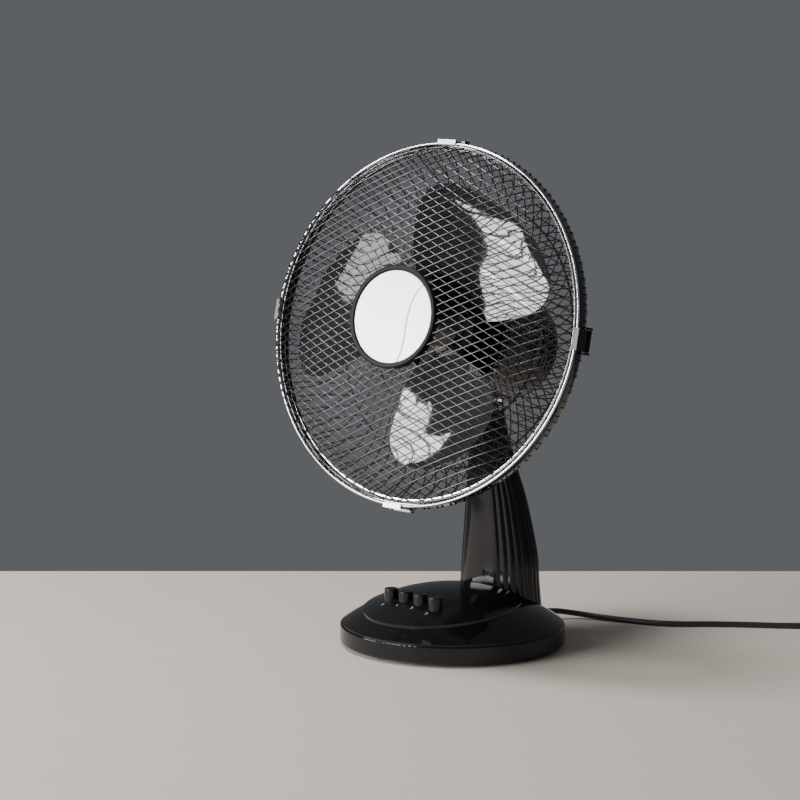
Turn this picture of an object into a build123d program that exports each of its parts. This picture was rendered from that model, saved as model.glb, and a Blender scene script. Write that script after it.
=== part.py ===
from build123d import *
import math
import os

# A desk fan on a round weighted base. A flared two-shell column carries a tilting, oscillating motor head.
# The head holds a three-blade rotor inside a wire cage: a crossed-wire front guard with a badge, a
# radial-wire rear guard and a bright rim with four hinged clips. Four push buttons are set in the base.
#
# Row frame: millimetres, +Z up, the fan's front faces -Y. The origin is the centre of the base on the table.
# Head parts are drawn in an axis frame: local +Z is the blade axis pointing forward, local +Y is up, and
# z = 0 is the plane of the cage's front rim. `on_axis` places them in the row frame.

# ---- driving dimensions -------------------------------------------------------------------------------
GAP = 0.3                 # free space between neighbours that only pass each other
FIT = 0.05                # radial clearance of a running fit

BASE_R = 116.0            # outside radius of the base
FOOT_H = 3.0              # thickness of the rubber feet
WALL_BOTTOM = 4.0         # height of the base wall's lower edge
WALL_TOP = 21.6           # height of the crease where the dome starts
DOME_TOP = 58.5           # height of the dome's crown
DOME_BALL = 200.0         # radius of the dome's sphere
SHELL = 2.6               # wall thickness of the moulded shells
PANEL_X, PANEL_Y = 80.0, 83.0     # half sizes of the raised oval control panel
PANEL_CENTRE = -15.0
PANEL_RISE = 2.4          # height of the panel above the dome

BUTTON_Y = -58.0
BUTTON_PITCH = 20.7
BUTTON_R = 7.0
BUTTON_TOP = 61.0
BUTTON_TRAVEL = 3.5

# column sections: height, centre y, half width, half depth
COLUMN = [(20.0, 72.5, 49.0, 38.5), (52.0, 72.0, 46.0, 36.5), (88.0, 71.5, 43.0, 34.5),
          (141.0, 66.0, 35.0, 28.7), (173.0, 60.5, 28.5, 24.1), (215.0, 54.0, 20.5, 18.7),
          (235.0, 52.0, 18.4, 17.0)]
SEAM_Y = 66.0             # plane where the two column shells meet, at the foot
SEAM_LEAN = 0.06

PIVOT_Y, PIVOT_Z = 56.0, 240.0    # the tilt hinge
AXIS_RISE = 66.5          # blade axis above the tilt hinge
RIM_REACH = 139.0         # rim plane in front of the tilt hinge
TILT = 12.2               # how far back the head is tilted as stored
YAW = 8.5                 # how far the head is turned as stored

RIM_R = 176.5             # centre line of the front guard's end ring
GUARD_HEIGHT = 49.0       # front guard's height above its end ring
WIRE = 0.75               # radius of the guard wires
MESH_PITCH = 16.3         # spacing of the crossed front wires, twice the real one
MESH_ANGLE = 26.0         # the crossed wires' angle to the horizontal
REAR_WIRES = 48
BADGE_R = 45.6
SURROUND_R = 50.0

ROTOR_Z = 2.0             # middle of the blades, in front of the rim plane
HUB_R = 29.0
BLADE_TURN = 53.0         # direction of the first blade as stored, degrees

HOUSING_R = 58.0
HOUSING_FRONT, HOUSING_SPLIT, HOUSING_BACK = -61.0, -108.0, -194.0
HOUSING_FLAT = 13.5       # height of the flat under the housing, above the tilt hinge
SHAFT_R = 4.0

CORD_R = 3.0

OUT = "parts"
os.makedirs(OUT, exist_ok=True)


# ---- helpers ------------------------------------------------------------------------------------------
def write(name, *solids):
    shape = solids[0] if len(solids) == 1 else Compound(children=list(solids))
    export_step(shape, f"{OUT}/{name}.step")


def rod(radius, low, high, x=0.0, y=0.0):
    """A cylinder along Z from low to high."""
    return Pos(x, y, low) * Cylinder(radius, high - low, align=(Align.CENTER, Align.CENTER, Align.MIN))


def tube(outer, inner, low, high, x=0.0, y=0.0):
    return rod(outer, low, high, x, y) - rod(inner, low - 1, high + 1, x, y)


def block(low, high):
    """A box between two corners."""
    size = [b - a for a, b in zip(low, high)]
    return Pos(*low) * Box(*size, align=(Align.MIN, Align.MIN, Align.MIN))


def turned(*points):
    """A solid of revolution about Z from (radius, height) corners."""
    return revolve(Plane.XZ * make_face(Polyline(*points, close=True)), Axis.Z)


def around(count, radius, start=0.0):
    """Places at even angles on a circle, each turned to face outwards along its own +X."""
    return [Rot(Z=start + i * 360.0 / count) * Pos(radius, 0, 0) for i in range(count)]


HEAD = Pos(0, PIVOT_Y, PIVOT_Z) * Rot(X=-TILT)                # frame of the tilt bracket
TURNED_HEAD = HEAD * Rot(Z=YAW)                               # frame of the motor head
AXIS_FRAME = TURNED_HEAD * Pos(0, -RIM_REACH, AXIS_RISE) * Rot(X=90)


def on_axis(*shapes):
    return [AXIS_FRAME * s for s in shapes]


# ---- base ---------------------------------------------------------------------------------------------
def dome(grow=0.0):
    return Pos(0, 0, DOME_TOP - DOME_BALL) * Sphere(DOME_BALL + grow)


def oval(y, half_x, half_y, low, high):
    return extrude(Plane((0, y, low)) * Ellipse(half_x, half_y), high - low)


def button_places():
    return [(i - 1.5) * BUTTON_PITCH for i in range(4)]


FOOT_OVAL = (COLUMN[1][1], COLUMN[1][2] - 4.5, COLUMN[1][3] - 4.5)


def base_shell():
    wall = rod(BASE_R, WALL_BOTTOM, WALL_TOP)
    wall = fillet(wall.edges().filter_by(GeomType.CIRCLE), 1.6)
    outer = wall + (dome() & rod(113.8, 12, 80))
    inner = rod(BASE_R - SHELL, 0, WALL_TOP - SHELL) + (dome(-SHELL) & rod(113.8 - SHELL, 10, 80))
    shell = outer - inner
    for place in around(4, 84.0, 45.0):
        shell += place * tube(4.5, 1.2, 12.0, 50.0) & outer
    for x in button_places():
        shell -= rod(BUTTON_R + 1.0, 20.0, 80.0, x=x, y=BUTTON_Y)
    shell -= oval(*FOOT_OVAL, 10, 80)
    shell -= Pos(0, BASE_R, 12.5) * Rot(X=90) * Cylinder(5.0, 20.0)
    return shell


def control_panel():
    plate = (dome(PANEL_RISE) - dome()) & oval(PANEL_CENTRE, PANEL_X, PANEL_Y, 5, 80)
    plate -= oval(COLUMN[1][1], COLUMN[1][2] + 2.0, COLUMN[1][3] + 2.0, 5, 80)
    for x in button_places():
        plate -= rod(BUTTON_R + 0.4, 20.0, 80.0, x=x, y=BUTTON_Y)
    return plate


def button(x):
    cap = rod(BUTTON_R, 40.0, BUTTON_TOP)
    cap = fillet(cap.edges().filter_by(GeomType.CIRCLE).sort_by(Axis.Z)[-1], 1.2)
    cap -= Pos(0, 0, BUTTON_TOP + 20.6) * Sphere(21.2)
    return Pos(x, BUTTON_Y, 0) * (cap + block((-2.6, -2.6, 30.0), (2.6, 2.6, 41.0)))


def switch_block():
    """Interlocked push switch hung under the dome."""
    half = 1.5 * BUTTON_PITCH + 8
    body = block((-half, BUTTON_Y - 9, 18.2), (half, BUTTON_Y + 9, 34.5))
    for x in button_places():
        body -= block((x - 3.0, BUTTON_Y - 3.0, 25.0), (x + 3.0, BUTTON_Y + 3.0, 40.0))
    return body


plate = rod(BASE_R - SHELL - 0.4, FOOT_H, FOOT_H + 2.5)
feet, screws = [], []
for place in around(4, 84.0, 45.0):
    plate -= place * rod(2.0, 0, 20)
    screws.append(place * (rod(3.4, 1.6, FOOT_H) + rod(1.2, 1.6, 24.0)))
for place in [Pos(0, 0, 0)] + around(4, 98.0, 0.0):
    plate -= place * rod(3.0, 0, 20)
    feet.append(place * (rod(9.0, 0, FOOT_H) + rod(2.9, 0, FOOT_H + 2.5)))
ballast = rod(76.0, 5.5, 17.0) - block((-40, -90, 0), (40, -44, 30)) - block((-11, 60, 0), (11, 90, 30))
write("base_shell", base_shell())
write("control_panel", control_panel())
write("base_plate", plate)
write("ballast_weight", ballast)
write("rubber_feet", *feet)
write("base_screws", *screws)
write("switch_block", switch_block())
for name, x in zip(("button_off", "button_low", "button_medium", "button_high"), button_places()):
    write(name, button(x))


# ---- column -------------------------------------------------------------------------------------------
def column_solid(inset):
    sections = [make_face(Plane((0, y, z)) * Ellipse(a - inset, b - inset)) for z, y, a, b in COLUMN]
    return loft(sections)


def tilt_hole(radius):
    return Pos(0, PIVOT_Y, PIVOT_Z) * Rot(Y=90) * Cylinder(radius, 90)


BOLT_R = 2.5
column = column_solid(0.0) - column_solid(SHELL)
column -= Pos(0, PIVOT_Y, PIVOT_Z) * Box(21.0, 60.0, 40.0)
column -= dome(PANEL_RISE + GAP)
seam = Plane((0, SEAM_Y, 120), z_dir=(0, 1, 2 * SEAM_LEAN))
write("column_front", split(column, bisect_by=seam, keep=Keep.BOTTOM))
write("column_rear", split(column, bisect_by=seam, keep=Keep.TOP))

# an inner post carries the tilt hinge down to the base plate
FOOT_Y = COLUMN[1][1]
post = rod(17.0, 17.0 + GAP, 40.0, y=FOOT_Y) + block((-13, 58, 39), (13, 78, 195))
post += block((-14, 50, 190), (14, 64, PIVOT_Z))
post = post & (column_solid(SHELL + GAP) + rod(20.0, 0, 60, y=FOOT_Y))
post += Pos(0, PIVOT_Y, PIVOT_Z) * Rot(Y=90) * Cylinder(6.0, 28.0)
post -= block((-10.3, 30, 222), (10.3, 90, 260))
post -= tilt_hole(BOLT_R)
write("column_post", post)
write("tilt_bolt", Pos(0, PIVOT_Y, PIVOT_Z) * Rot(Y=90) * rod(BOLT_R, -14.0, 14.0))

# ---- tilt bracket: turns on the bolt and carries the upright oscillation pin ---------------------------
PIN_R = 5.0
LINK_ARM = (15.5, 0.0)    # fixed link pin on the bracket
CRANK = (0.0, 30.0)       # crank disc's axis on the motor head
CRANK_THROW = 9.0
bracket = Rot(Y=90) * Cylinder(8.0, 20.0) + rod(8.0, 0, 8.2) + rod(PIN_R, 8.0, 44.0)
bracket += block((0, -3, 6.4), (18.5, 3, 8.4)) + rod(2.0, 8.0, 10.6, *LINK_ARM)
bracket -= Rot(Y=90) * Cylinder(BOLT_R + FIT, 30.0)
write("tilt_bracket", HEAD * bracket)

start = Rot(Z=YAW) * Pos(CRANK[0] + CRANK_THROW, CRANK[1], 0)
crank_pin = start.position
span = math.hypot(crank_pin.X - LINK_ARM[0], crank_pin.Y - LINK_ARM[1])
aim = math.degrees(math.atan2(crank_pin.Y - LINK_ARM[1], crank_pin.X - LINK_ARM[0]))
link = block((0, -3, 8.9), (span, 3, 10.4)) + rod(4.0, 8.9, 10.4) + rod(4.0, 8.9, 10.4, x=span)
link -= rod(2.0 + FIT, 5, 15) + rod(2.2, 5, 15, x=span)
write("link_arm", HEAD * Pos(*LINK_ARM, 0) * Rot(Z=aim) * link)
crank = rod(12.0, 11.2, 13.1) + rod(3.0, 13.0, 30.0) + rod(2.0, 10.8, 11.3, x=CRANK_THROW)
write("crank_disc", TURNED_HEAD * Pos(*CRANK, 0) * crank)


# ---- motor head ---------------------------------------------------------------------------------------
def bullet(inset):
    """The motor housing's outside, drawn in the axis frame."""
    front, back, r = HOUSING_FRONT - inset, HOUSING_BACK + inset, HOUSING_R - inset
    side = [Line((0, front), (r - 4, front)), Line((r - 4, front), (r, front - 6)),
            Line((r, front - 6), (r, -148))]
    tail = Spline((r, -148), (r - 7, -171), (r - 25, back + 5), (0, back), tangents=((0, -1), (-1, 0)))
    return revolve(Plane.XZ * make_face(Curve() + side + [tail, Line((0, back), (0, front))]), Axis.Z)


UP = Pos(0, -AXIS_RISE, -RIM_REACH) * Rot(X=-90)      # the head frame seen from the axis frame
outside = bullet(0) - UP * rod(50.0, -10, HOUSING_FLAT)
inside = bullet(SHELL) - UP * rod(60.0, -10, HOUSING_FLAT + SHELL)
housing = outside - inside - rod(12.0, -70, -50)
housing -= UP * rod(7.0, 5, 30) + UP * rod(4.0, 5, 30, *CRANK) + UP * rod(4.5, 100, 135, 0, 24)
for side in (0, 180):
    for i in range(7):
        slot = Rot(Z=side) * Pos(HOUSING_R, 0, -118 - 7 * i) * Box(14, 44, 3.0)
        housing -= slot
front_half = housing & rod(70, HOUSING_SPLIT, HOUSING_FRONT + 5)
rear_half = housing & rod(70, HOUSING_BACK - 5, HOUSING_SPLIT - GAP)
front_half += tube(14.0, 12.0, HOUSING_FRONT - 3, -51)
write("neck_skirt", *on_axis(UP * tube(17.0, 14.8, 10.9, HOUSING_FLAT)))
write("motor_front_cover", *on_axis(front_half))
write("motor_rear_cover", *on_axis(rear_half))
write("stator_core", *on_axis(tube(45.0, 22.0, -98, -74)))
write("stator_windings", *on_axis(tube(40.0, 25.0, -73.9, -66), tube(40.0, 25.0, -106, -98.1)))
write("motor_bearings", *on_axis(tube(12.0, SHAFT_R + FIT, -66, -58), tube(11.0, SHAFT_R + FIT, -112, -107)))
gearbox = block((-14, -45, -146), (14, -14, -128)) + block((-17, -15, -146), (17, 10, -114))
gearbox -= rod(SHAFT_R + 1, -130, -100) + UP * rod(PIN_R + FIT, 0, 44.5)
write("gearbox", *on_axis(gearbox))
knob = rod(4.0, 106, 128) + rod(7.5, 127, 139) + rod(3.0, 88, 107)
write("oscillation_knob", TURNED_HEAD * Pos(0, 24, 0) * knob)

# ---- rotor: shaft, blades and nut ---------------------------------------------------------------------
write("motor_shaft", *on_axis(rod(SHAFT_R, -126, 30)))
write("rotor_core", *on_axis(tube(21.5, SHAFT_R, -98, -74)))


def blade_section(x, half, slope, camber):
    """A thin curved strip across the blade, in the plane at distance x from the axis."""
    upper, lower = [], []
    for i in range(7):
        s = half * (i / 3 - 1)
        z = slope * s - camber * (1 - (s / half) ** 2) + ROTOR_Z
        upper.append((x, s, z + 0.9))
        lower.append((x, s, z - 0.9))
    edges = [Spline(*upper), Line(upper[-1], lower[-1]), Spline(*reversed(lower)), Line(lower[0], upper[0])]
    return make_face(Curve() + edges)


BLADE = [(20, 17, 0.66, 1.5), (40, 36, 0.50, 3.0), (60, 57, 0.40, 4.5), (81, 72, 0.33, 5.5),
         (100, 78, 0.30, 6.0), (115, 73, 0.30, 6.0), (127, 60, 0.30, 5.0), (136, 42, 0.30, 3.5),
         (141.5, 24, 0.30, 2.0)]
blade = loft([blade_section(*row) for row in BLADE])
hub = rod(HUB_R, ROTOR_Z - 20, ROTOR_Z + 18) - rod(HUB_R - 2.5, ROTOR_Z - 21, ROTOR_Z + 14)
hub += rod(9, ROTOR_Z - 20, ROTOR_Z + 15)
hub = fillet(hub.edges().filter_by(GeomType.CIRCLE).group_by(Axis.Z)[-1], 3.0)
rotor = hub
for i in range(3):
    rotor += Rot(Z=BLADE_TURN + 120 * i) * (blade - rod(HUB_R - 1.0, -60, 60))
rotor -= rod(SHAFT_R, -60, 60)
write("blade_rotor", *on_axis(rotor))
nut = rod(14.0, ROTOR_Z + 18, ROTOR_Z + 31) - rod(SHAFT_R, 0, 30)
for place in around(12, 14.6, 0):
    nut -= place * rod(1.6, 0, 60)
write("blade_nut", *on_axis(nut))


# ---- cage ---------------------------------------------------------------------------------------------
def bend_radii(points):
    """The largest tangent arc that each corner of a route leaves room for."""
    radii = []
    for a, b, c in zip(points, points[1:], points[2:]):
        one, two = Vector(*b) - Vector(*a), Vector(*c) - Vector(*b)
        turn = math.radians(one.get_angle(two))
        radii.append(0.45 * min(one.length, two.length) / math.tan(turn / 2))
    return radii


def bent_rod(points, radius):
    """A round rod along straight runs joined by tangent arcs."""
    path = FilletPolyline(*points, radius=bend_radii(points))
    return sweep(Plane(path @ 0, z_dir=path % 0) * Circle(radius), path=path), path


def wire(points):
    return bent_rod(points, WIRE)[0]


def lengths(whole, cuts):
    """A wire cut across at planes of constant local X, into lengths that meet end to end."""
    pieces = [whole]
    for x in cuts:
        halves = [split(p, bisect_by=Plane((x, 0, 0), z_dir=(1, 0, 0)), keep=Keep.BOTH) for p in pieces]
        pieces = [solid for half in halves for solid in half.solids()]
    return pieces


def ring(radius, z, section):
    return Pos(0, 0, z) * Torus(radius, section)


def guard_height(r):
    return 3.0 + GUARD_HEIGHT * (1 - min(1.0, r / (RIM_R + 0.5)) ** 2.2) ** 0.453


def crossed_wires(turn, lift):
    """Parallel straight-plan wires laid over the front guard's dome."""
    wires = []
    count = int(RIM_R / MESH_PITCH)
    for i in range(-count, count + 1):
        d = i * MESH_PITCH
        end = math.sqrt(RIM_R ** 2 - d ** 2)
        start = math.sqrt((SURROUND_R - 2) ** 2 - d ** 2) if abs(d) < SURROUND_R - 4 else None
        bottom = -end if start is None else start
        steps = 10 if start is None else 5
        points = []
        for k in range(steps + 1):
            if start is None:
                u = -end * math.cos(math.pi * k / steps)
            else:
                u = bottom + (end - bottom) * math.sin(math.pi / 2 * k / steps)
            points.append((u, d, guard_height(math.hypot(u, d)) + lift))
        cuts = [-0.82 * end, 0.82 * end] if start is None else [0.82 * end]
        for piece in lengths(wire(points), cuts):
            wires.append(Rot(Z=turn) * piece)
            if start is not None:
                wires.append(Rot(Z=turn) * mirror(piece, Plane.YZ))
    return wires


write("front_wires_rising", *on_axis(*crossed_wires(MESH_ANGLE, 0.85)))
write("front_wires_falling", *on_axis(*crossed_wires(-MESH_ANGLE, -0.85)))
write("front_ring", *on_axis(ring(RIM_R, 3.0, 1.5)))
surround = turned((0, 45.5), (49.8, 45.5), (50.6, 46.5), (50.6, 53.4), (49.4, 54.2), (46.6, 54.2),
                  (45.9, 53.4), (45.9, 49.5), (0, 49.5))
write("badge_surround", *on_axis(surround))
badge = rod(BADGE_R, 49.5, 52.7)
write("badge_disc", *on_axis(fillet(badge.edges().filter_by(GeomType.CIRCLE).sort_by(Axis.Z)[-1], 0.6)))
trim = turned((178.2, -7.5), (178.2, 4.6), (179.0, 5.6), (180.0, 6.0), (181.0, 5.6), (181.8, 4.6), (181.8, 3.2),
              (179.2, 3.2), (179.2, -7.5))
write("rim_trim", *on_axis(trim))
write("rim_band", *on_axis(tube(181.8, 179.4, -10.0, 3.0)))
write("rear_ring", *on_axis(ring(178.4, -9.4, 1.5)))
rear_wire = wire([(54, 0, -59.8), (70, 0, -59.8), (100, 0, -58.5), (125, 0, -56.6), (143, 0, -51.5),
                  (158, 0, -42), (170, 0, -26), (176.6, 0, -15), (178.4, 0, -9.4)])
rear_pieces = lengths(rear_wire, [132, 162])
write("rear_wires", *on_axis(*[Rot(Z=(i + 0.5) * 360 / REAR_WIRES) * piece for i in range(REAR_WIRES)
                               for piece in rear_pieces]))
write("rear_hoops", *on_axis(ring(100, -60.0, 1.0), ring(138, -55.2, 1.0)))
write("rear_guard_hub", *on_axis(tube(58.0, 14.2, HOUSING_FRONT, -58.6)))
lock = tube(25.0, 14.0, -58.6, -51.5)
for place in around(8, 26.0, 0):
    lock -= place * rod(3.5, -60, -50)
write("guard_lock_nut", *on_axis(lock))

# hinged clips that hold the front guard on the rim
HINGE_R, HINGE_Z = 184.0, -12.2
lugs, pins = [], []
clip = Pos(HINGE_R, 0, HINGE_Z) * Rot(X=90) * Cylinder(1.9, 21.0)
clip += block((182.3, -10.5, -12.0), (183.7, 10.5, 7.6)) + block((179.0, -10.5, 6.5), (183.7, 10.5, 7.6))
clip -= Pos(HINGE_R, 0, HINGE_Z) * Rot(X=90) * Cylinder(0.8 + FIT, 30.0)
for place in around(4, 0.0, 0.0):
    for side in (-1, 1):
        lugs.append(place * block((181.8, 12.0 * side - 1, -14.2), (185.8, 12.0 * side + 1, -8.0)))
    pins.append(place * Pos(HINGE_R, 0, HINGE_Z) * Rot(X=90) * Cylinder(0.8, 26.0))
lug_solids = []
for lug in lugs:
    for pin in pins:
        lug -= pin
    lug_solids.append(lug)
write("clip_lugs", *on_axis(*[lug - rod(181.8, -20, 20) for lug in lug_solids]))
write("clip_pins", *on_axis(*pins))
for name, place in zip(("clip_right", "clip_top", "clip_left", "clip_bottom"), around(4, 0.0, 0.0)):
    write(name, *on_axis(place * clip))


# ---- cord ---------------------------------------------------------------------------------------------
ROUTE = [(0, 100, 12.5), (0, 146, 12.3), (14, 180, 5.0), (52, 192, 3.05), (112, 212, 3.05),
         (152, 256, 3.05), (218, 305, 3.05), (262, 350, 5.5)]
cord, run = bent_rod(ROUTE, CORD_R)
print("cord bend radii", [round(r, 1) for r in bend_radii(ROUTE)])
print("cord length", round(run.length, 1), "volume ratio", round(cord.volume / (run.length * math.pi * CORD_R ** 2), 4))
write("power_cord", cord)
relief = Plane((0, 108, 12.5), z_dir=(0, 1, 0)) * Pos(0, 0, 0) * (
    Cylinder(6.8, 5.0, align=(Align.CENTER, Align.CENTER, Align.MIN))
    + Pos(0, 0, 5) * Cylinder(4.9, 3.0, align=(Align.CENTER, Align.CENTER, Align.MIN))
    + Pos(0, 0, 8) * Cone(5.6, 3.9, 26.0, align=(Align.CENTER, Align.CENTER, Align.MIN)))
relief -= cord
relief = relief.solids().sort_by(SortBy.VOLUME)[-1]
write("strain_relief", relief)

COIL_R, BUNDLE_R, COIL_Z = 33.0, 8.8, 9.6
heading = Vector(262 - 218, 350 - 305, 0).normalized()
right = Vector(heading.Y, -heading.X, 0)
end = Vector(262, 350, 0) + heading * 6
centre = end + right * COIL_R
coil = Pos(centre.X, centre.Y, COIL_Z) * Torus(COIL_R, BUNDLE_R)
write("cord_coil", coil)
angle = math.degrees(math.atan2(heading.Y, heading.X))
tie_place = Pos(centre.X, centre.Y, COIL_Z) * Rot(Z=angle) * Pos(COIL_R, 0, 0) * Rot(X=90)
write("cord_tie", tie_place * (Cylinder(9.6, 9.0) - Cylinder(BUNDLE_R, 20.0)))
tail_start = centre + heading * COIL_R
tail_route = [tail_start + right * a + Vector(0, 0, z) for a, z in ((6, 14.0), (18, 13.0), (36, 11.0))]
tail, _ = bent_rod([tuple(p) for p in tail_route], CORD_R)
write("cord_tail", tail)
plug_place = Pos(tail_start.X, tail_start.Y, 11.0) * Rot(Z=angle - 180)
body = Pos(0, 66, 0) * Box(20, 36, 22)
body = fillet(body.edges().filter_by(Axis.Y), 5.0)
body += Pos(0, 41.5, 0) * Rot(X=-90) * Cone(3.9, 6.5, 13.5)
write("plug_body", plug_place * body)
write("plug_pins", *[plug_place * Pos(0, 91.9, z) * Rot(X=90) * Cylinder(2.0, 16.0) for z in (-6.0, 6.0)])
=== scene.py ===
import math
import bpy
import bmesh
from mathutils import Vector, Matrix


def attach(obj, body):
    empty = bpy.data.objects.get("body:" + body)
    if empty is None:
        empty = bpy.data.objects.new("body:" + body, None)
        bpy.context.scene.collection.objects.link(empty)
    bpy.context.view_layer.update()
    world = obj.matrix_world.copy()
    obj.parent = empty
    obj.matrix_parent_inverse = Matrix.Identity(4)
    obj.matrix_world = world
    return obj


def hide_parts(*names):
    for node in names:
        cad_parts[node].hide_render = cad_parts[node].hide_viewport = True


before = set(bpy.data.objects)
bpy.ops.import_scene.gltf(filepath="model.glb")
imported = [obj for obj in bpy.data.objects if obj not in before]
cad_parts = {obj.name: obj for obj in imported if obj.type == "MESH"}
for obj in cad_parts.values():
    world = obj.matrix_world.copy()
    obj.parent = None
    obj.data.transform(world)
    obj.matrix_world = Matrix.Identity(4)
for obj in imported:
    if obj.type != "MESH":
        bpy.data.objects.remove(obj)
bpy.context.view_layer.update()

# Tables, outlines and routes are in millimetres and MM takes them to metres. Angles are in degrees.
MM = 0.001

# ---- where the head sits, as in the CAD ----------------------------------------------------------
PIVOT = Vector((0, 0.056, 0.240))         # the tilt hinge
TILTED, TURNED = -12.2, 8.5               # how the head is stored
AXIS_RISE, RIM_REACH = 0.0665, 0.139      # blade axis above the hinge, rim plane in front of it
HEAD = (Matrix.Translation(PIVOT) @ Matrix.Rotation(math.radians(TILTED), 4, "X")
        @ Matrix.Rotation(math.radians(TURNED), 4, "Z"))
# the axis frame: z runs forward along the blades' axis, from the plane of the rim
AXIS = (HEAD @ Matrix.Translation((0, -RIM_REACH, AXIS_RISE))
        @ Matrix.Rotation(math.radians(90), 4, "X"))


# ---- materials -----------------------------------------------------------------------------------
COAT_ROUGH = 0.03
MOTTLE_SCALE, MOTTLE_DETAIL, GRAIN_DETAIL = 14.0, 4.0, 2.0
MOTTLE_ON_ROUGH = 2.5                     # the mottle's effect on roughness, next to that on colour
SMOOTHEST = 0.02
GRAIN_DEPTH = 0.0004


def set_inputs(node, values):
    for socket, value in values.items():
        node.inputs[socket].default_value = value
    return node


def material(name, colour, rough, metal=0.0, coat=0.0, grain=900.0, bump=0.02, vary=0.06,
             streak=None, shine=0.5):
    """Procedural surface: fine grain in the bump, and a slow mottle in colour and roughness.

    streak stretches both patterns, for metal that is drawn, stacked or wound.
    """
    m = bpy.data.materials.new(name)
    m.use_nodes = True
    nodes, links = m.node_tree.nodes, m.node_tree.links
    bsdf = set_inputs(nodes["Principled BSDF"],
                      {"Metallic": metal, "Specular IOR Level": shine, "Coat Weight": coat,
                       "Coat Roughness": COAT_ROUGH})
    place = nodes.new("ShaderNodeTexCoord").outputs["Object"]
    if streak:
        scale = set_inputs(nodes.new("ShaderNodeMapping"), {"Scale": streak})
        links.new(place, scale.inputs["Vector"])
        place = scale.outputs["Vector"]
    slow = set_inputs(nodes.new("ShaderNodeTexNoise"),
                      {"Scale": MOTTLE_SCALE, "Detail": MOTTLE_DETAIL})
    fine = set_inputs(nodes.new("ShaderNodeTexNoise"), {"Scale": grain, "Detail": GRAIN_DETAIL})
    for noise in (slow, fine):
        links.new(place, noise.inputs["Vector"])

    def mottled(low, high):
        spread = set_inputs(nodes.new("ShaderNodeMapRange"), {"To Min": low, "To Max": high})
        links.new(slow.outputs["Fac"], spread.inputs["Value"])
        return spread.outputs["Result"]

    mix = nodes.new("ShaderNodeVectorMath")
    mix.operation = "SCALE"
    mix.inputs[0].default_value = colour
    links.new(mottled(1.0 - vary, 1.0 + vary), mix.inputs["Scale"])
    links.new(mix.outputs["Vector"], bsdf.inputs["Base Color"])
    swing = MOTTLE_ON_ROUGH * vary
    links.new(mottled(max(SMOOTHEST, rough * (1 - swing)), rough * (1 + swing)),
              bsdf.inputs["Roughness"])
    relief = set_inputs(nodes.new("ShaderNodeBump"), {"Strength": bump, "Distance": GRAIN_DEPTH})
    links.new(fine.outputs["Fac"], relief.inputs["Height"])
    links.new(relief.outputs["Normal"], bsdf.inputs["Normal"])
    return m


# plastics and rubber
GLOSS = material("gloss_black", (0.006, 0.006, 0.007), 0.08, grain=60, bump=0.012, shine=0.36)
PANEL = material("panel_black", (0.008, 0.008, 0.009), 0.11, grain=70, bump=0.02, shine=0.36)
BLADE = material("blade_black", (0.018, 0.018, 0.020), 0.06, coat=1.0, grain=30, bump=0.0015,
                 vary=0.04)
MATTE = material("matte_black", (0.018, 0.018, 0.020), 0.50, grain=1400, bump=0.25)
SURROUND = material("surround_black", (0.006, 0.006, 0.007), 0.42, bump=0.06, shine=0.12)
BUTTON = material("button_black", (0.010, 0.010, 0.011), 0.20, grain=700, bump=0.05, shine=0.36)
CORD = material("cord_black", (0.018, 0.018, 0.019), 0.36, bump=0.12)
RUBBER = material("foot_rubber", (0.025, 0.025, 0.026), 0.75, grain=1600, bump=0.4)
INK = material("print_white", (0.72, 0.72, 0.72), 0.5, bump=0.05)
# bright and painted metal of the cage
CHROME = material("trim_chrome", (0.78, 0.78, 0.80), 0.09, metal=1.0, grain=500, vary=0.03)
CLIP = material("clip_bright", (0.80, 0.80, 0.82), 0.42, metal=0.75, grain=500, bump=0.03,
                vary=0.03)
WIRE = material("front_wire", (0.10, 0.10, 0.105), 0.18, metal=1.0, bump=0.03, vary=0.08)
DARK_WIRE = material("rear_wire", (0.016, 0.016, 0.018), 0.28, coat=0.4, bump=0.05)
# bare metal
IRON = material("ballast_iron", (0.10, 0.10, 0.11), 0.65, metal=0.8, grain=420, bump=0.7, vary=0.2)
STEEL = material("steel", (0.52, 0.53, 0.55), 0.32, metal=1.0, grain=300, bump=0.1,
                 streak=(1, 1, 12))
ZINC = material("zinc", (0.45, 0.45, 0.47), 0.48, metal=1.0, grain=500, bump=0.4, vary=0.12)
CORE = material("core_steel", (0.30, 0.30, 0.32), 0.42, metal=1.0, grain=240, bump=0.3,
                streak=(1, 9, 1))
COPPER = material("copper", (0.28, 0.10, 0.05), 0.34, metal=1.0, grain=380, bump=0.6,
                  streak=(1, 6, 1))
BRONZE = material("bearing_bronze", (0.22, 0.15, 0.08), 0.50, metal=1.0, grain=700, bump=0.3)
BRASS = material("plug_brass", (0.75, 0.60, 0.32), 0.25, metal=1.0, grain=400, bump=0.06)

# the badge's hairline, in metres from the badge's centre: x = SIDE + BEND * (y + LOW) ** 3
BADGE_FRONT = 0.0527
HAIR_SIDE, HAIR_LOW, HAIR_BEND = 0.0175, 0.012, 147.0
HAIR_CORE, HAIR_EDGE = 0.0002, 0.0014
HAIR_COLOUR = (0.07, 0.07, 0.075, 1)


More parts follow.
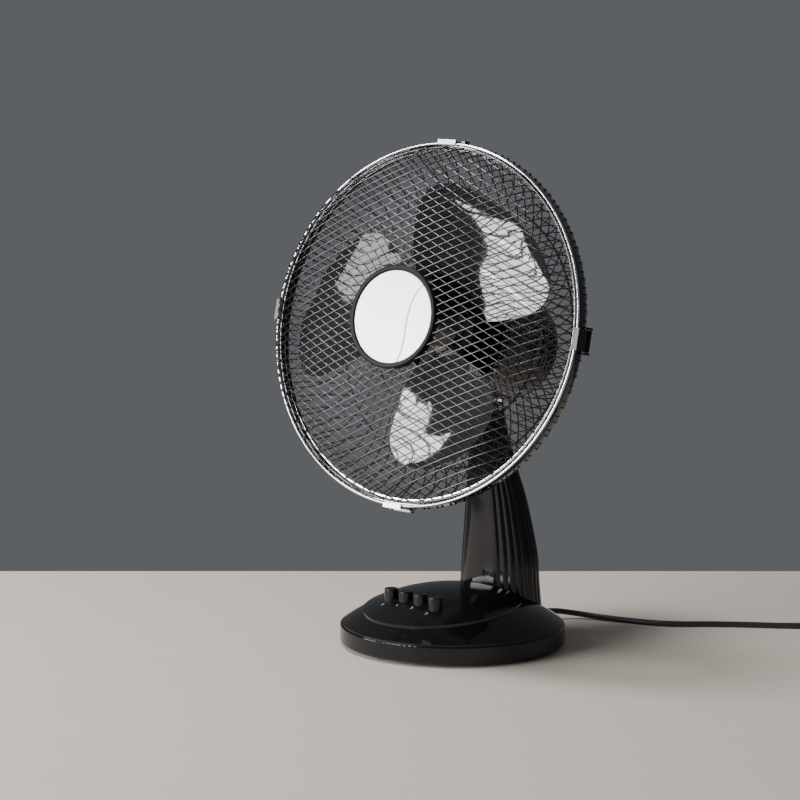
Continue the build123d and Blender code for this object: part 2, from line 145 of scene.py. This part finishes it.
def badge_material():
    """Pale satin metal with a soft cloud and one fine wavy hairline right of the middle."""
    m = material("badge_silver", (0.70, 0.71, 0.72), 0.26, metal=0.45, grain=260, vary=0.14)
    nodes, links = m.node_tree.nodes, m.node_tree.links
    bsdf = nodes["Principled BSDF"]
    where = nodes.new("ShaderNodeTexCoord")

    def along(direction):
        """How far a point lies from the badge's centre along one direction of the axis frame."""
        shift = nodes.new("ShaderNodeVectorMath")
        shift.operation = "SUBTRACT"
        shift.inputs[1].default_value = AXIS @ Vector((0, 0, BADGE_FRONT))
        links.new(where.outputs["Object"], shift.inputs[0])
        dot = nodes.new("ShaderNodeVectorMath")
        dot.operation = "DOT_PRODUCT"
        dot.inputs[1].default_value = AXIS.to_3x3() @ Vector(direction)
        links.new(shift.outputs["Vector"], dot.inputs[0])
        return dot.outputs["Value"]

    def maths(kind, *values):
        n = nodes.new("ShaderNodeMath")
        n.operation = kind
        for socket, value in zip(n.inputs, values):
            if isinstance(value, float):
                socket.default_value = value
            else:
                links.new(value, socket)
        return n.outputs[0]

    across, up = along((1, 0, 0)), along((0, 1, 0))
    rise = maths("ADD", up, HAIR_LOW)
    cube = maths("MULTIPLY", maths("MULTIPLY", rise, rise), rise)
    bend = maths("MULTIPLY", cube, HAIR_BEND)
    away = maths("ABSOLUTE", maths("SUBTRACT", maths("SUBTRACT", across, HAIR_SIDE), bend))
    line = set_inputs(nodes.new("ShaderNodeMapRange"),
                      {"From Min": HAIR_CORE, "From Max": HAIR_EDGE, "To Min": 1.0, "To Max": 0.0})
    links.new(away, line.inputs["Value"])
    shade = nodes.new("ShaderNodeMix")
    shade.data_type = "RGBA"
    shade.inputs["B"].default_value = HAIR_COLOUR
    links.new(line.outputs["Result"], shade.inputs["Factor"])
    links.new(bsdf.inputs["Base Color"].links[0].from_socket, shade.inputs["A"])
    links.new(shade.outputs["Result"], bsdf.inputs["Base Color"])
    return m


BADGE = badge_material()
LOOKS = {
    GLOSS: ["base_shell", "motor_front_cover", "motor_rear_cover", "rim_band", "rear_guard_hub",
            "clip_lugs", "clip_right", "clip_left"],
    PANEL: ["control_panel"],
    BLADE: ["blade_rotor"],
    SURROUND: ["badge_surround"],
    MATTE: ["base_plate", "switch_block", "column_post", "cord_tie", "neck_skirt",
            "guard_lock_nut", "blade_nut"],
    BUTTON: ["button_off", "button_low", "button_medium", "button_high", "oscillation_knob"],
    CORD: ["strain_relief", "plug_body"],
    RUBBER: ["rubber_feet"],
    CHROME: ["rim_trim"],
    CLIP: ["clip_top", "clip_bottom"],
    WIRE: ["front_ring"],
    DARK_WIRE: ["rear_ring", "rear_hoops"],
    IRON: ["ballast_weight"],
    STEEL: ["base_screws", "tilt_bolt", "link_arm", "crank_disc", "clip_pins", "motor_shaft"],
    ZINC: ["tilt_bracket", "gearbox"],
    CORE: ["stator_core", "rotor_core"],
    COPPER: ["stator_windings"],
    BRONZE: ["motor_bearings"],
    BRASS: ["plug_pins"],
    BADGE: ["badge_disc"],
}
for look, names in LOOKS.items():
    for name in names:
        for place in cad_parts[name].material_slots:
            place.material = look


# ---- mesh and curve helpers ----------------------------------------------------------------------
SHARP = 0.6                               # radians between two faces that makes their edge sharp


def link(name, data):
    obj = bpy.data.objects.new(name, data)
    bpy.context.scene.collection.objects.link(obj)
    return obj


def add(name, data, look, body, place=Matrix()):
    """A visible piece that rides on one of the CAD's bodies."""
    obj = link(name, data)
    obj.matrix_world = place
    data.materials.append(look)
    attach(obj, body)
    return obj


def round_curve(name, radius, resolution):
    curve = bpy.data.curves.new(name, "CURVE")
    curve.dimensions = "3D"
    curve.bevel_depth = radius
    curve.bevel_resolution = resolution
    curve.use_fill_caps = True
    return curve


def add_spline(curve, kind, places):
    spline = curve.splines.new(kind)
    spline.points.add(len(places) - 1)
    for point, place in zip(spline.points, places):
        point.co = (*place, 1)
    return spline


def wires(name, lines, radius, look):
    """The head's round wires, along lists of points in the axis frame."""
    curve = round_curve(name, radius, 2)
    for line in lines:
        add_spline(curve, "POLY", [AXIS @ (Vector(p) * MM) for p in line]).use_smooth = True
    return add(name, curve, look, "head")


def to_mesh(name, bm):
    mesh = bpy.data.meshes.new(name)
    bm.to_mesh(mesh)
    bm.free()
    return mesh


def rings(name, outlines, look, count=180):
    """Closed (radius, z) outlines turned about the head's axis."""
    bm = bmesh.new()
    for outline in outlines:
        loops = []
        for k in range(count):
            c, s = math.cos(2 * math.pi * k / count), math.sin(2 * math.pi * k / count)
            loops.append([bm.verts.new(AXIS @ (Vector((r * c, r * s, z)) * MM))
                          for r, z in outline])
        for k in range(count):
            one, two = loops[k], loops[(k + 1) % count]
            for i in range(len(outline)):
                j = (i + 1) % len(outline)
                bm.faces.new((one[i], two[i], two[j], one[j]))
    bmesh.ops.recalc_face_normals(bm, faces=bm.faces[:])
    for edge in bm.edges:
        edge.smooth = edge.calc_face_angle(0) < SHARP
    for face in bm.faces:
        face.smooth = True
    return add(name, to_mesh(name, bm), look, "head")


def bead(r, z, size, steps=14):
    """The round outline of a bead, for rings."""
    turns = [2 * math.pi * k / steps for k in range(steps)]
    return [(r + size * math.cos(turn), z + size * math.sin(turn)) for turn in turns]


def smooth_rows(table, steps):
    """Catmull-Rom through the rows of a table."""
    rows = [table[0]] + list(table) + [table[-1]]
    out = []
    for i in range(1, len(rows) - 2):
        for k in range(steps):
            t = k / steps
            a, b, c, d = rows[i - 1:i + 3]
            out.append(tuple(0.5 * (2 * q + (r - p) * t + (2 * p - 5 * q + 4 * r - s) * t * t
                                    + (3 * q - p - 3 * r + s) * t ** 3)
                             for p, q, r, s in zip(a, b, c, d)))
    return out + [tuple(table[-1])]


# ---- cage ----------------------------------------------------------------------------------------
FRONT_WIRE_R, REAR_WIRE_R = 0.60 * MM, 0.62 * MM
RIM_R, SURROUND_R = 176.5, 50.3           # where the front wires end, outside and inside
RIM_Z, GUARD_RISE, GUARD_FLAT, GUARD_ROUND = 3.0, 49.0, 2.2, 0.453
FRONT_PITCH, FRONT_TURN, FRONT_LIFT, FRONT_STEPS = 8.15, 26, 0.7, 40


def guard_height(r):
    """The front guard's dome, flat in the middle and steep at the rim."""
    share = min(1.0, r / (RIM_R + 0.5))
    return RIM_Z + GUARD_RISE * (1 - share ** GUARD_FLAT) ** GUARD_ROUND


def crossed(turn, lift):
    """Parallel wires over the dome, cut out around the badge. They get denser towards the rim."""
    lines = []
    count = int(RIM_R / FRONT_PITCH)
    c, s = math.cos(math.radians(turn)), math.sin(math.radians(turn))
    for i in range(-count, count + 1):
        d = i * FRONT_PITCH
        end = math.sqrt(RIM_R ** 2 - d * d)
        if abs(d) < SURROUND_R - 1:
            start = math.sqrt(SURROUND_R ** 2 - d * d)
            runs = [(start, end, 1), (start, end, -1)]
        else:
            runs = [(-end, end, 1)]
        for low, high, side in runs:
            line = []
            for k in range(FRONT_STEPS + 1):
                t = k / FRONT_STEPS
                if low < 0:
                    u = high * math.sin(math.pi * (t - 0.5))
                else:
                    u = low + (high - low) * math.sin(math.pi / 2 * t)
                u *= side
                z = guard_height(math.hypot(u, d)) + lift
                line.append((u * c - d * s, u * s + d * c, z))
            lines.append(line)
    return lines


rising = wires("guard_wires_rising", crossed(FRONT_TURN, FRONT_LIFT), FRONT_WIRE_R, WIRE)
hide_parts("front_wires_rising")
falling = wires("guard_wires_falling", crossed(-FRONT_TURN, -FRONT_LIFT), FRONT_WIRE_R, WIRE)
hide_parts("front_wires_falling")

# the rim: a bright bead, a bright flange behind the wires' ends, and a black band around both
BEAD_R, BEAD_Z, BEAD_SIZE = 180.3, 4.6, 1.35
FLANGE = [(173.4, 0.2), (178.4, 0.2), (178.4, 1.0), (173.4, 1.0)]
BAND = [(178.5, -7.6), (181.6, -7.6), (181.8, -7.2), (181.8, 3.6), (178.5, 3.6)]
trim = rings("rim_bright", [bead(BEAD_R, BEAD_Z, BEAD_SIZE), FLANGE], CHROME)
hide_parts("rim_trim")
band = rings("rim_black", [BAND], GLOSS)
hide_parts("rim_band")

# rear guard: two families of wires swirl opposite ways from the hub, then run straight to the rim;
# each row is the radius, z and turn about the axis of one point of a wire
REAR = [(54, -59.8, 0), (70, -59.8, 6), (90, -59.2, 13), (110, -57.8, 19), (128, -55.2, 24),
        (143, -50.5, 27.5), (155, -43.5, 29.5), (164.5, -34, 30.6), (171, -25.5, 31),
        (176, -17.5, 31), (180.3, -11.0, 31), (182.2, -7.4, 31), (182.3, -5.6, 31)]
REAR_COUNT, REAR_LIFT, REAR_STEPS = 72, (0.4, -0.8), 4


def swirl(way, lift):
    lines = []
    for i in range(REAR_COUNT):
        line = []
        for r, z, turn in smooth_rows(REAR, REAR_STEPS):
            angle = math.radians(360 * i / REAR_COUNT + way * turn)
            line.append((r * math.cos(angle), r * math.sin(angle), z + lift))
        lines.append(line)
    return lines


back = wires("guard_wires_rear", swirl(1, REAR_LIFT[0]) + swirl(-1, REAR_LIFT[1]), REAR_WIRE_R,
             DARK_WIRE)
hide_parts("rear_wires")

# ---- column: smooth front, fluted sides and back -------------------------------------------------
# each row is the height of an oval section, its centre's y, and its half sizes in x and y
COLUMN = [(20.0, 72.5, 49.0, 38.5), (52.0, 72.0, 46.0, 36.5), (88.0, 71.5, 43.0, 34.5),
          (141.0, 66.0, 35.0, 28.7), (173.0, 60.5, 28.5, 24.1), (215.0, 54.0, 20.5, 18.7),
          (235.0, 52.0, 18.4, 17.0)]
COLUMN_STEPS, COLUMN_COUNT, COLUMN_WALL = 14, 300, 0.0024
FLUTES, FLUTE_DEPTH = 30, 1.4
FLUTE_FROM, FLUTE_EASE = 27.0, 7.0        # degrees from the front where the flutes start and deepen
FLUTE_TOP, FLUTE_FADE, FLUTE_LEAST = 236, 40, 0.15
SLOT_HALF, SLOT_FLOOR = 0.0105, 0.220     # the hinge slot, in metres
FRONT_EDGE, REAR_EDGE = 97.5, 98.1        # the joint between the shells, from the front


def cut_slot(bm):
    """Opens the hinge slot in the column's top with clean straight edges."""
    for place, normal in (((SLOT_HALF, 0, 0), (1, 0, 0)), ((-SLOT_HALF, 0, 0), (1, 0, 0)),
                          ((0, 0, SLOT_FLOOR), (0, 0, 1))):
        bmesh.ops.bisect_plane(bm, geom=bm.verts[:] + bm.edges[:] + bm.faces[:],
                               plane_co=place, plane_no=normal, dist=1e-7)
    middles = [(f, f.calc_center_median()) for f in bm.faces]
    inside = [f for f, at in middles if abs(at.x) < SLOT_HALF and at.z > SLOT_FLOOR]
    bmesh.ops.delete(bm, geom=inside, context="FACES")


def groove(turn, z):
    """How far a flute sinks in at this angle from the front and this height."""
    away = abs((turn + 180) % 360 - 180)
    fade = (min(1.0, max(0.0, (away - FLUTE_FROM) / FLUTE_EASE))
            * min(1.0, max(FLUTE_LEAST, (FLUTE_TOP - z) / FLUTE_FADE)))
    return FLUTE_DEPTH * fade * (1 - abs(math.sin(FLUTES / 2 * math.radians(turn))))


def column_skin(name, low, high):
    """The column's outside between two angles from the front, with a wall's thickness."""
    bm = bmesh.new()
    grid = []
    for z, y, a, b in smooth_rows(COLUMN, COLUMN_STEPS):
        ring = []
        for k in range(COLUMN_COUNT + 1):
            turn = low + (high - low) * k / COLUMN_COUNT
            angle, sunk = math.radians(turn - 90), groove(turn, z)
            place = Vector(((a - sunk) * math.cos(angle), y + (b - sunk) * math.sin(angle), z))
            ring.append(bm.verts.new(place * MM))
        grid.append(ring)
    for lower, upper in zip(grid, grid[1:]):
        for k in range(COLUMN_COUNT):
            bm.faces.new((lower[k], lower[k + 1], upper[k + 1], upper[k])).smooth = True
    cut_slot(bm)
    obj = add(name, to_mesh(name, bm), GLOSS, "stand")
    wall = obj.modifiers.new("wall", "SOLIDIFY")
    wall.thickness = COLUMN_WALL
    wall.offset = -1
    return obj


front = column_skin("column_front_skin", -FRONT_EDGE, FRONT_EDGE)
rear = column_skin("column_rear_skin", REAR_EDGE, 360 - REAR_EDGE)
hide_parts("column_front")
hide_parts("column_rear")

# ---- printed marks under the buttons -------------------------------------------------------------
DOME_TOP, DOME_BALL, PANEL_RISE = 58.5, 200.0, 2.4
BUTTON_PITCH, MARK_Y, MARK_LIFT, MARK_SIZE = 20.7, -70.5, 0.06, 0.0055


def mark(text, x, y):
    """A digit that lies on the control panel's dome."""
    ball, middle = DOME_BALL + PANEL_RISE + MARK_LIFT, DOME_TOP - DOME_BALL
    place = Vector((x, y, middle + math.sqrt(ball * ball - x * x - y * y)))
    up = Vector((x, y, place.z - middle)).normalized()
    right = Vector((1, 0, 0)) - up * up.x
    right.normalize()
    turn = Matrix((right, up.cross(right), up)).transposed()
    data = bpy.data.curves.new(f"mark_{text}", "FONT")
    data.body = text
    data.size = MARK_SIZE
    data.align_x = "CENTER"
    data.align_y = "CENTER"
    add(f"mark_{text}", data, INK, "stand",
        Matrix.Translation(place * MM) @ turn.to_4x4())


for i, text in enumerate("0123"):
    mark(text, (i - 1.5) * BUTTON_PITCH, MARK_Y)

# ---- cord ----------------------------------------------------------------------------------------
CORD_R = 0.003
ROUTE = [(0, 100, 12.5), (0, 146, 12.3), (14, 180, 5.0), (52, 192, 3.05), (112, 212, 3.05),
         (152, 256, 3.05), (218, 305, 3.05), (262, 350, 5.5)]
AHEAD = Vector((44, 45, 0)).normalized()          # the way the route enters the coil
ASIDE = Vector((AHEAD.y, -AHEAD.x, 0))
COIL_R, COIL_Z, COIL_TURNS, COIL_STEPS = 33.0, 9.6, 6.25, 14
COIL_LEAD = 6                             # from the route's end to where the first turn starts
# where each turn lies in the bundle, as its offset in radius and in height
LAY = [(3, -5.2), (-3, -5.2), (-6, 0), (0, 0), (6, 0), (3, 5.2), (-3, 5.2)]
CROSSING = 0.6                            # share of a turn after which the cord moves to the next
COIL_EXIT = ((16, 13.6), (28, 11.6), (38, 11.0))  # how far aside and how high, up to the plug


def cord_route():
    """Along the table to the coil, round it, and out again to the plug."""
    centre = Vector(ROUTE[-1][:2] + (0,)) + AHEAD * COIL_LEAD + ASIDE * COIL_R
    route = [Vector(p) for p in ROUTE]
    for k in range(1, int(COIL_TURNS * COIL_STEPS) + 1):
        turn, part = divmod(k, COIL_STEPS)
        blend = max(0.0, (part / COIL_STEPS - CROSSING) / (1 - CROSSING))
        blend = blend * blend * (3 - 2 * blend)
        one, two = (LAY[min(row, len(LAY) - 1)] for row in (turn, turn + 1))
        dr, dz = (p + (q - p) * blend for p, q in zip(one, two))
        angle = 2 * math.pi * k / COIL_STEPS
        route.append(centre
                     + (COIL_R + dr) * (AHEAD * math.sin(angle) - ASIDE * math.cos(angle))
                     + Vector((0, 0, COIL_Z + dz)))
    for aside, z in COIL_EXIT:
        route.append(centre + AHEAD * COIL_R + ASIDE * aside + Vector((0, 0, z)))
    return route


curve = round_curve("mains_cord", CORD_R, 5)
curve.resolution_u = 10
spline = add_spline(curve, "NURBS", [p * MM for p in cord_route()])
spline.order_u = 3
spline.use_endpoint_u = True
cord = add("mains_cord", curve, CORD, "stand")
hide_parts("power_cord", "cord_coil", "cord_tail")

# ---- table top, light and camera -----------------------------------------------------------------
# the table top ends a little way behind the object, square to the view
BACK_EDGE, NEAR_EDGE, LEFT_EDGE, RIGHT_EDGE = 0.376, -1.0, -0.74, 4.0
away, right = Vector((-0.70711, 0.70711, 0)), Vector((0.70711, 0.70711, 0))
corners = [away * BACK_EDGE + right * RIGHT_EDGE, away * BACK_EDGE + right * LEFT_EDGE,
           away * NEAR_EDGE + right * LEFT_EDGE, away * NEAR_EDGE + right * RIGHT_EDGE]
mesh = bpy.data.meshes.new("floor")
mesh.from_pydata([tuple(c) for c in corners], [], [(0, 1, 2, 3)])
floor = link("floor", mesh)
mesh.materials.append(material("floor", (0.68, 0.60, 0.525), 0.7, grain=30, bump=0.0, vary=0.02,
                               shine=0.05))

# each light's place, the point it faces, its width and height in metres, and its power in watts
LIGHTS = {
    "window": ((-1.11, -2.19, 0.695), (0, -0.06, 0.695), 2.9, 0.81, 108),
    "window_low": ((-0.288, -2.617, 0.10), (0.8224, -0.487, 0.10), 1.05, 0.5, 24),
    "lamp": ((-1.084, -1.94, 1.795), (0, -0.06, 0.36), 0.75, 0.5, 7),
    "top": ((-0.62, -0.70, 2.4), (0, 0, 0.1), 0.7, 0.7, 40),
}
for name, (place, aim, width, height, power) in LIGHTS.items():
    light = bpy.data.lights.new(name, "AREA")
    light.shape = "RECTANGLE"
    light.size, light.size_y = width, height
    light.energy = power
    lamp = link(name, light)
    lamp.location = place
    lamp.rotation_euler = (Vector(aim) - Vector(place)).to_track_quat("-Z", "Y").to_euler()

world = bpy.data.worlds.new("room")
bpy.context.scene.world = world
world.use_nodes = True
set_inputs(world.node_tree.nodes["Background"],
           {"Color": (0.115, 0.12, 0.126, 1), "Strength": 1.0})

CAMERA_AT = (1.535, -1.6115, 0.515)
CAMERA_ROUND, CAMERA_DOWN, LENS, SENSOR, FAR = 45, 6.75, 99.0, 36.0, 50.0
lens = bpy.data.cameras.new("camera")
lens.lens = LENS
lens.sensor_width = SENSOR
lens.clip_end = FAR
camera = link("camera", lens)
camera.location = CAMERA_AT
camera.rotation_euler = (math.radians(90 - CAMERA_DOWN), 0, math.radians(CAMERA_ROUND))
bpy.context.scene.camera = camera
